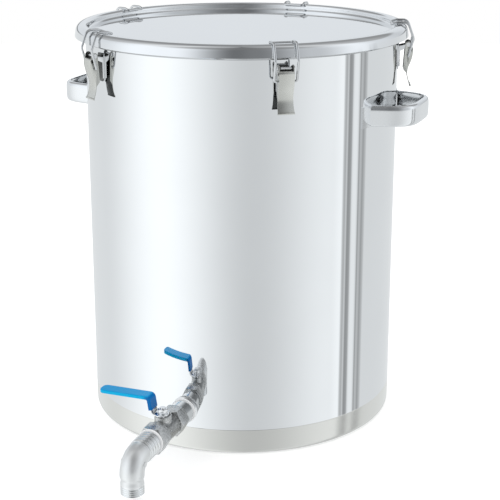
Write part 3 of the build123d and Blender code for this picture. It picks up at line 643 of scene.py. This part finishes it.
def sleeve_plastic(context):
    """Dipped blue plastic in painted light: darker on the drop below the bend as painted shade, lighter on the grip's
    sides as a painted sheen, and a lit tone on the flat of the grip.
    """
    name = "blue sleeve plastic"
    if name in bpy.data.materials:
        return bpy.data.materials[name]
    finish = context.scene.tank_finish
    material = soft_plastic(name, finish.sleeve, roughness=0.16, grain=260.0, bump=0.16, gloss=0.15)
    tree = material.node_tree
    part = add_node(tree, "ShaderNodeSeparateXYZ", Vector=place_of(tree)).outputs
    bend, _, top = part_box("lever_sleeve")[1]
    grip_start, grip_full = bend - 0.006, bend - 0.016
    flat_start, flat_full = top - 0.0016, top - 0.0002
    # Painted light: the drop near the bend keeps the darker painted shade, the grip's sides take the painted sheen, and
    # the flat on top of the grip its lit tone.
    grip = map_range(tree, part["X"], grip_start, grip_full)
    flat = map_range(tree, part["Z"], flat_start, flat_full)
    edge = mix_tones(tree, grip, (*finish.sleeve, 1), (*finish.sleeve_painted_sheen, 1))
    feed(tree, surface_of(tree).inputs["Base Color"], mix_tones(tree, flat, edge, (*finish.sleeve_lit_top, 1)))
    return material


class TANK_OT_shell(bpy.types.Operator):
    """Turns the shell, its curled rim and its pressed bottom as smooth sheets"""

    bl_idname = "tank.shell"
    bl_label = "Shell, rim and bottom"

    def execute(self, context):
        sizes = context.scene.tank_sizes
        half = sizes.sheet / 2
        middle = SHELL_R - half
        rows = (SEAM_Z, *SHELL_ROWS, BEAD_Z)
        shell = self.turn_sheet("shell_sheet", [(middle, z) for z in rows], sizes)
        drill(shell, sizes.drain_hole, depth=0.06, place=(0, -SHELL_R, DRAIN_Z), turned=(math.pi / 2, 0, 0))
        smooth(shell)
        finish_piece(shell, "tank", "sheet_steel", polished_steel(context, "polished wall steel"), "tank_shell")
        self.brush_inside(shell, context)

        bead = RIM_Z - BEAD_Z
        curl = places_on_arc((RIM_R - bead, BEAD_Z), bead - half, first=180, last=-118, steps=44)
        rim = self.turn_sheet("rim_curl", curl, sizes)
        smooth(rim)
        finish_piece(rim, "tank", "sheet_steel", polished_steel(context, "drawn rim steel"), "tank_rim")

        corner = [(OUTER_RING, half), (middle, half), (middle, SEAM_Z)]
        dish = [(0, half), (INNER_RING, half)] + rounded_profile(corner, [sizes.bottom_corner - half])
        bottom = self.turn_sheet("bottom_dish", dish, sizes)
        smooth(bottom)
        finish_piece(bottom, "tank", "sheet_steel", bottom_steel(context), "tank_bottom")
        self.brush_inside(bottom, context)
        self.lay_seam(sizes, bottom_steel(context))
        return {"FINISHED"}

    def turn_sheet(self, name, profile, sizes):
        piece = turn_round_tank(name, profile, sizes.turns)
        give_sheet(piece, sizes.sheet)
        return piece

    def brush_inside(self, piece, context):
        """Gives the faces that look into the tank their own finish."""
        piece.data.materials.append(polished_steel(context, "brushed inner steel"))
        for face in piece.data.polygons:
            inward = face.normal.x * face.center.x + face.normal.y * face.center.y < 0
            if face.normal.z > 0.5 or (inward and face.normal.z > -0.5):
                face.material_index = 1

    def lay_seam(self, sizes, steel):
        """The flattened weld bead between the shell and the bottom."""
        half = sizes.seam / 2
        sunk, radius, arc_half, depth = 0.0014, 0.0016, 0.0012, 0.0008
        arc = places_on_arc((SHELL_R - sunk, SEAM_Z), radius, first=-48, last=48, steps=8)
        crown = [(r, SEAM_Z + (z - SEAM_Z) * half / arc_half) for r, z in arc]
        back = [(SHELL_R - depth, SEAM_Z + half), (SHELL_R - depth, SEAM_Z - half)]
        seam = turn_round_tank("bottom_seam", crown + back + crown[:1], sizes.turns)
        smooth(seam, 50)
        finish_piece(seam, "tank", "sheet_steel", steel)


class TANK_OT_lid(bpy.types.Operator):
    """Turns the lid as one pressed sheet and finishes its gasket"""

    bl_idname = "tank.lid"
    bl_label = "Lid"

    def execute(self, context):
        sizes = context.scene.tank_sizes
        half = sizes.sheet / 2
        skirt, plug = SKIRT_R - half, sizes.lid_plug - half
        crest, plate = CREST_Z - half, CREST_Z - sizes.lid_recess - half
        corners = [(skirt, SKIRT_Z), (skirt - sizes.lid_lean, crest), (plug, crest), (plug, plate), (OUTER_RING, plate)]
        radii = [sizes.lid_outer - half, sizes.lid_inner - half, sizes.lid_plate + half]
        profile = rounded_profile(corners, radii) + [(INNER_RING, plate), (0, plate)]
        lid = turn_round_tank("lid_sheet", profile, sizes.turns)
        give_sheet(lid, sizes.sheet)
        smooth(lid)
        finish_piece(lid, "lid", "sheet_steel", polished_steel(context, "polished lid steel"), "lid_panel")
        colour = context.scene.tank_finish.gasket
        coat_nodes(["lid_gasket"], soft_plastic("silicone gasket", colour, roughness=0.5, grain=500.0, bump=0.1))
        return {"FINISHED"}


class TANK_OT_handles(bpy.types.Operator):
    """Bows one strap handle with its feet and copies it to the other side"""

    bl_idname = "tank.handles"
    bl_label = "Handles"

    def execute(self, context):
        sizes = context.scene.tank_handles
        steel = polished_steel(context, "polished strap steel")
        right = self.bow_strap(sizes, "handle_right_strap")
        for way in (-1, 1):
            foot = self.lay_foot(sizes, way)
            take_up(right, foot)
            bpy.ops.object.join()
        smooth(right, 40)
        turn_piece(right, sizes.turn)
        left = copy_piece(right, "handle_left_strap")
        turn_piece(left, math.pi)
        finish_piece(right, "tank", "sheet_steel", steel, "handle_right")
        finish_piece(left, "tank", "sheet_steel", steel, "handle_left")
        return {"FINISHED"}

    def bow_strap(self, sizes, name):
        """A rounded section drawn at the wall and led along the arms, eased bends and front of the bow."""
        ease = 1.5  # length of an eased bend against that of a plain one
        root = Vector((math.sqrt(SHELL_R ** 2 - sizes.span ** 2 / 4), -sizes.span / 2, 0))
        corner = Vector((SHELL_R + sizes.reach, -sizes.front / 2, 0))
        arm = (corner - root).normalized()
        outward = Vector((arm.y, -arm.x, 0))
        turn = arm.angle(Vector((0, 1, 0)))
        run = sizes.bend * turn * ease
        turns, taken = self.eased_bend(turn, run, steps=36)
        start = root - arm * 2 * sizes.depth
        strap = self.draw_section(sizes, name, start, outward)
        straight = (corner - start).length - taken
        place, way = self.lead(start, arm, arm * straight, turns, run)
        across = Vector((0, sizes.front - 2 * taken, 0))
        place, way = self.lead(place, way, across, turns, run)
        self.lead(place, way, way * straight, [], run)
        close_up(strap)
        give_sheet(strap, sizes.sheet)
        drill(strap, SHELL_R, depth=0.2, place=(0, 0, STRAP_Z), vertices=512)
        return strap

    def eased_bend(self, turn, run, steps):
        """Small turns that grow and fade along a bend, and the room that the bend takes up before its corner."""
        turns = [turn / steps * (1 - math.cos(math.tau * (i + 0.5) / steps)) for i in range(steps)]
        place, heading = Vector((0, 0)), 0.0
        for part in turns:
            heading += part / 2
            place += Vector((math.cos(heading), math.sin(heading))) * run / steps
            heading += part / 2
        return turns, place.length / (2 * math.cos(turn / 2))

    def draw_section(self, sizes, name, start, outward):
        """The strap's section, flat in front with full round edges, open towards the wall."""
        steps, flatness = 48, 0.5
        edge = (sizes.height - sizes.sheet) / 2
        rise = sizes.depth - sizes.sheet / 2
        places = []
        for i in range(steps + 1):
            angle = math.pi * i / steps
            up = math.copysign(abs(math.cos(angle)) ** flatness, -math.cos(angle)) * edge
            out = math.sin(angle) ** flatness * rise - sizes.depth
            places.append(start + outward * out + Vector((0, 0, STRAP_Z + up)))
        return draw_profile(name, places)

    def lead(self, place, way, straight, turns, run):
        """Leads the chosen section straight on and then round a bend to the left."""
        bpy.ops.mesh.extrude_region_move(TRANSFORM_OT_translate={"value": straight})
        place = place + straight
        for part in turns:
            radius = run / len(turns) / part
            middle = place + Vector((-way.y, way.x, 0)) * radius
            bpy.ops.mesh.spin(steps=1, angle=-part, center=middle, axis=(0, 0, 1))
            turned = Matrix.Rotation(part, 3, "Z")
            place = middle + turned @ (place - middle)
            way = turned @ way
        return place, way

    def lay_foot(self, sizes, way):
        """A foot bent onto the wall beyond the root of the strap."""
        rows, steps = 8, 12
        root = math.asin(sizes.span / 2 / SHELL_R)
        first = root - 2 * sizes.sheet / SHELL_R
        last = root + sizes.foot / SHELL_R
        r = SHELL_R + sizes.sheet / 2
        heights = [STRAP_Z + sizes.height * (i / rows - 0.5) for i in range(rows + 1)]
        foot = draw_profile("handle_foot", [(r * math.cos(first), way * r * math.sin(first), z) for z in heights])
        bpy.ops.mesh.spin(steps=steps, angle=way * (first - last), center=(0, 0, 0), axis=(0, 0, 1))
        close_up(foot)
        give_sheet(foot, sizes.sheet)
        return foot


class TANK_OT_clips(bpy.types.Operator):
    """Finishes the five wire clips"""

    bl_idname = "tank.clips"
    bl_label = "Clips"

    def execute(self, context):
        base = soften_node("clip_base_1", "clip_bracket_1", PRESSED_EDGE)
        lever = soften_node("clip_lever_1", "clip_handle_1", THIN_EDGE)
        strap, pressed, mill, turned, wire = (polished_steel(context, name) for name in (
            "polished strap steel", "pressed clip steel", "dull mill steel", "turned steel", "drawn wire steel"))
        for number in CLIPS:
            turn = math.radians(CLIP_SPACING * (number - 1))
            bracket, handle = base, lever
            if number > 1:
                bracket = copy_piece(base, f"clip_bracket_{number}")
                turn_piece(bracket, turn)
                handle = copy_piece(lever, f"clip_handle_{number}")
                turn_piece(handle, turn)
            finish_piece(bracket, "tank", "clip_steel", strap, f"clip_base_{number}")
            finish_piece(handle, f"clip_lever_{number}", "clip_steel", pressed, f"clip_lever_{number}")
            # The hollow sides of brackets and levers are painted near black for shade
            self.paint_hollow_shade(bracket, turn, mill, 1)
            self.paint_hollow_shade(handle, turn, mill, -1)
            coat_nodes([f"clip_pin_{number}"], turned)
            coat_nodes([f"clip_bail_{number}"], wire)
        return {"FINISHED"}

    def paint_hollow_shade(self, piece, turn, steel, side):
        """Paints shade on the hollow side of a channel: its floor and the insides of its flanges take the near black
        finish.
        """
        floor_facing, flange_facing = 0.35, 0.9
        piece.data.materials.append(steel)
        low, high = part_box("clip_lever_1")
        bearing = math.atan2((low.x + high.x) / 2, -(low.y + high.y) / 2) + turn
        outward = Vector((math.sin(bearing), -math.cos(bearing), 0))
        across = Vector((math.cos(bearing), math.sin(bearing), 0))
        for face in piece.data.polygons:
            aside = face.normal.dot(across)
            flange = abs(aside) > flange_facing and aside * face.center.dot(across) < 0
            if flange or side * face.normal.dot(outward) > floor_facing:
                face.material_index = 1


class TANK_OT_drain(bpy.types.Operator):
    """Finishes the socket, nipple and sealing tape of the drain"""

    bl_idname = "tank.drain"
    bl_label = "Drain"

    def execute(self, context):
        coat_nodes(["drain_socket", "drain_nipple"], polished_steel(context, "bright pipe steel"))
        white = soft_plastic("sealing tape", context.scene.tank_finish.tape, roughness=0.6, grain=800.0, bump=0.2)
        for end in ("inlet", "outlet"):
            tape = self.wind_tape(end)
            finish_piece(tape, "tank", "white_tape", white, f"seal_tape_{end}")
        return {"FINISHED"}

    def wind_tape(self, end):
        """Four windings of tape squeezed out of a screwed joint."""
        start = -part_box(f"seal_tape_{end}")[1].y - SHELL_R
        core = 0.0153
        crests = [(0.0, 0.0184), (0.0004, 0.0190), (0.0009, 0.0187), (0.0013, 0.0193), (0.0018, 0.0189),
                  (0.0022, 0.0192), (0.0027, 0.0186), (0.0031, 0.0187), (0.0034, 0.0178)]
        profile = [(0.0, core)] + crests + [(crests[-1][0], core), (0.0, core)]
        tape = turn_round_pipe(f"tape_windings_{end}", [(start + out, r) for out, r in profile])
        wrinkles = bpy.data.textures.new(f"tape wrinkles {end}", "CLOUDS")
        wrinkles.noise_scale = 0.005
        apply_modifier(tape, "DISPLACE", texture=wrinkles, texture_coords="OBJECT", strength=0.0007, mid_level=0.5)
        smooth(tape, 60)
        return tape


class TANK_OT_valve(bpy.types.Operator):
    """Finishes the ball valve, its lever and sleeve, and the elbow"""

    bl_idname = "tank.valve"
    bl_label = "Valve"

    def execute(self, context):
        turned = polished_steel(context, "turned steel")
        for node, shape in (("valve_body", "valve_body_casting"), ("valve_end_piece", "valve_end_casting")):
            finish_piece(soften_node(node, shape, CAST_EDGE), "tank", "cast_steel", valve_steel(context), node)
        coat_nodes(["outlet_elbow"], elbow_steel(context))
        self.cut_thread(elbow_steel(context))
        for node, shape in (("lever_nut", "lever_nut_shape"), ("valve_lever", "lever_strip")):
            finish_piece(soften_node(node, shape, PRESSED_EDGE), "valve_lever", "turned_steel", turned, node)
        coat_nodes(["valve_ball", "valve_stem", "lever_spring_washer", "gland_nut"], turned)
        white = soft_plastic("seat plastic", context.scene.tank_finish.tape, roughness=0.5, grain=600.0, bump=0.1)
        coat_nodes(["valve_seat_inner", "valve_seat_outer", "stem_packing", "stem_thrust_washer"], white)
        coat_nodes(["lever_sleeve"], sleeve_plastic(context))
        return {"FINISHED"}

    def cut_thread(self, steel):
        """Bold thread crests round the elbow's inlet, over the grooves of the frame."""
        gap, pitch, count, collar = 0.0008, 0.0076, 4, 0.001
        crest, groove, core = 0.0181, 0.0168, 0.0155
        ridge = [(0.0, groove), (0.0014, groove), (0.0030, crest), (0.0060, crest)]
        start = -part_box("seal_tape_outlet")[0].y - SHELL_R + gap
        stop = start + count * pitch
        profile = [(start, core)]
        for turn in range(count):
            profile += [(start + turn * pitch + out, r) for out, r in ridge]
        profile += [(stop, groove), (stop + collar, groove), (stop + collar, core), (start, core)]
        thread = turn_round_pipe("elbow_thread", profile)
        round_edges(thread, PRESSED_EDGE, corner=30)
        smooth(thread, 30)
        finish_piece(thread, "tank", "cast_steel", steel)


class TANK_OT_stage(bpy.types.Operator):
    """Lays the pale floor and sets the studio light and the camera"""

    bl_idname = "tank.stage"
    bl_label = "Stage"

    def execute(self, context):
        studio = context.scene.tank_studio
        self.lay_floor()
        self.light_world(context, studio)
        self.hang_key(context, studio)
        bpy.ops.object.camera_add(location=studio.eye, rotation=(studio.tilt, 0, studio.pan))
        camera = context.object
        camera.data.lens = studio.lens
        camera.data.sensor_width = 36
        context.scene.camera = camera
        context.scene.view_settings.view_transform = "Standard"
        return {"FINISHED"}

    def hang_key(self, context, studio):
        """A large soft lamp over the left shoulder that polished steel doesn't show."""
        bpy.ops.object.light_add(type="AREA", location=KEY_PLACE)
        key = context.object
        key.name = "soft_key"
        key.data.size = studio.key_size
        key.data.energy = studio.key_power
        key.rotation_euler = Vector(KEY_WAY).to_track_quat("-Z", "Y").to_euler()
        key.visible_glossy = False

    def lay_floor(self):
        """A pale floor that is lifted to white for the camera and keeps the tank's shadow."""
        bpy.ops.object.select_all(action="DESELECT")
        bpy.ops.mesh.primitive_circle_add(vertices=96, radius=FLOOR_R, fill_type="NGON", location=(0, 0, 0))
        floor = bpy.context.object
        floor.name = "floor"
        material = bpy.data.materials.new("pale floor")
        material.use_nodes = True
        tree = material.node_tree
        tree.nodes.remove(surface_of(tree))
        paper = add_node(tree, "ShaderNodeBsdfDiffuse", Color=(FLOOR_TONE, FLOOR_TONE, FLOOR_TONE, 1))
        light = tree.nodes.new("ShaderNodeLightPath")
        strength = add_math(tree, "MULTIPLY", light.outputs["Is Camera Ray"], FLOOR_GLOW)
        glow = add_node(tree, "ShaderNodeEmission", Strength=strength)
        lit = tree.nodes.new("ShaderNodeAddShader")
        feed(tree, lit.inputs[0], paper.outputs["BSDF"])
        feed(tree, lit.inputs[1], glow.outputs["Emission"])
        feed(tree, tree.nodes["Material Output"].inputs["Surface"], lit.outputs["Shader"])
        floor.data.materials.append(material)
        floor.visible_glossy = False

    def light_world(self, context, studio):
        """White for the camera, an even level on matt surfaces, and soft boxes round the tank for polished steel."""
        world = bpy.data.worlds.new("studio")
        context.scene.world = world
        world.use_nodes = True
        tree = world.node_tree
        light = tree.nodes.new("ShaderNodeLightPath").outputs
        way = tree.nodes.new("ShaderNodeTexCoord").outputs["Generated"]
        rise = add_node(tree, "ShaderNodeSeparateXYZ", Vector=way).outputs["Z"]
        facing = Vector((studio.eye[0], studio.eye[1], 0)).normalized()
        ahead = add_vector_math(tree, "DOT_PRODUCT", way, facing)
        aside = add_vector_math(tree, "DOT_PRODUCT", way, Vector((-facing.y, facing.x, 0)))
        bearing = add_math(tree, "ARCTAN2", aside, ahead)
        turn = map_range(tree, bearing, -math.pi, math.pi, easing="LINEAR")
        low, high, crown, gap, start, full = (
            self.tone_ring(tree, turn, *ring) for ring in (LOW, HIGH, CROWN, GAP, CROWN_START, CROWN_FULL))

        sides = mix_tones(tree, map_range(tree, rise, *HORIZON), low, high)
        from_gap = add_math(tree, "ABSOLUTE", add_math(tree, "SUBTRACT", rise, GAP_RISE))
        dimmed = mix_tones(tree, map_range(tree, from_gap, *GAP_EDGE, low=gap), BLACK, sides)
        boxes = mix_tones(tree, map_range(tree, rise, start, full), dimmed, crown)
        levels = (studio.level * share for share in EVEN_SHARE)
        even = map_range(tree, rise, *EVEN_RISE, *levels, easing="LINEAR")
        lit = mix_tones(tree, light["Is Glossy Ray"], even, boxes)
        seen = mix_tones(tree, light["Is Camera Ray"], lit, WHITE)
        feed(tree, tree.nodes["Background"].inputs["Color"], seen)

    def tone_ring(self, tree, turn, stops, tint):
        """Tones round the horizon, by bearing from the camera in degrees."""
        ring = add_node(tree, "ShaderNodeValToRGB", Fac=turn)
        ring.color_ramp.interpolation = "EASE"
        ramp = ring.color_ramp.elements
        while len(ramp) < len(stops):
            ramp.new(0.5)
        for stop, (bearing, tone) in zip(ramp, stops):
            stop.position = (bearing + 180) / 360
            stop.color = (*shade(tint, tone), 1)
        return ring.outputs["Color"]


class TANK_PT_panel(bpy.types.Panel):
    """Lists the steps that dress the tank"""

    bl_idname = "TANK_PT_panel"
    bl_label = "Tank"
    bl_space_type = "VIEW_3D"
    bl_region_type = "UI"
    bl_category = "Tank"

    def draw(self, context):
        for step in STEPS:
            self.layout.operator(step.bl_idname)


STEPS = (TANK_OT_shell, TANK_OT_lid, TANK_OT_handles, TANK_OT_clips, TANK_OT_drain, TANK_OT_valve, TANK_OT_stage)
CLASSES = (TankSizes, HandleSizes, TankFinish, StudioSettings, *STEPS, TANK_PT_panel)


def register():
    for piece in CLASSES:
        bpy.utils.register_class(piece)
    bpy.types.Scene.tank_sizes = PointerProperty(type=TankSizes)
    bpy.types.Scene.tank_handles = PointerProperty(type=HandleSizes)
    bpy.types.Scene.tank_finish = PointerProperty(type=TankFinish)
    bpy.types.Scene.tank_studio = PointerProperty(type=StudioSettings)


def unregister():
    del bpy.types.Scene.tank_studio
    del bpy.types.Scene.tank_finish
    del bpy.types.Scene.tank_handles
    del bpy.types.Scene.tank_sizes
    for piece in reversed(CLASSES):
        bpy.utils.unregister_class(piece)


def main():
    register()
    bpy.ops.tank.shell()
    bpy.ops.tank.lid()
    bpy.ops.tank.handles()
    bpy.ops.tank.clips()
    bpy.ops.tank.drain()
    bpy.ops.tank.valve()
    bpy.ops.tank.stage()


if __name__ == "__main__":
    main()
